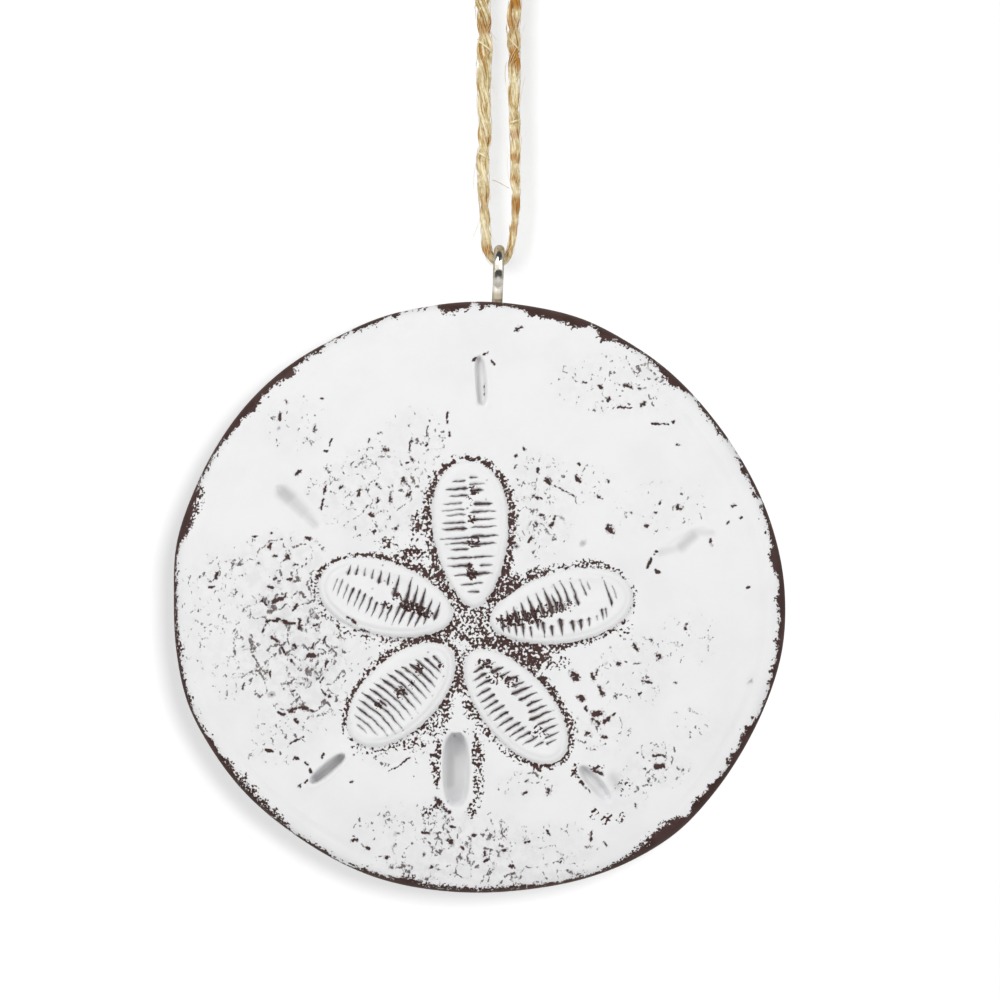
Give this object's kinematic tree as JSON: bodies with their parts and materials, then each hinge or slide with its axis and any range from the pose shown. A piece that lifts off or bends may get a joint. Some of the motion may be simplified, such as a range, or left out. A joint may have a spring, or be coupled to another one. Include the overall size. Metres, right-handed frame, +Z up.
{
  "type": "sand dollar ornament",
  "caption": "Round cast sand dollar ornament with raised ribbed petals and slots, hung by a screw eye and a knotted twine loop.",
  "frame": {"origin": "the hanging point, in the top of the twine loop just under its knot", "axes": "+Z up, -Y out of the relief's front, +X to the right seen from the front"},
  "size_m": [0.0804, 0.0089, 0.1367],
  "materials": {
    "painted_casting": "white paint brushed over a dark brown cast resin, which shows at the worn edge, in the grooves and round the petals",
    "nickel_wire": "nickel-plated steel wire, a little yellowed",
    "jute": "natural two-ply jute twine with loose fibres"
  },
  "bodies": {
    "root": {"sand_dollar": "painted_casting", "screw_eye": "nickel_wire", "twine_loop": "jute", "twine_knot": "jute"}
  },
  "joints": []
}
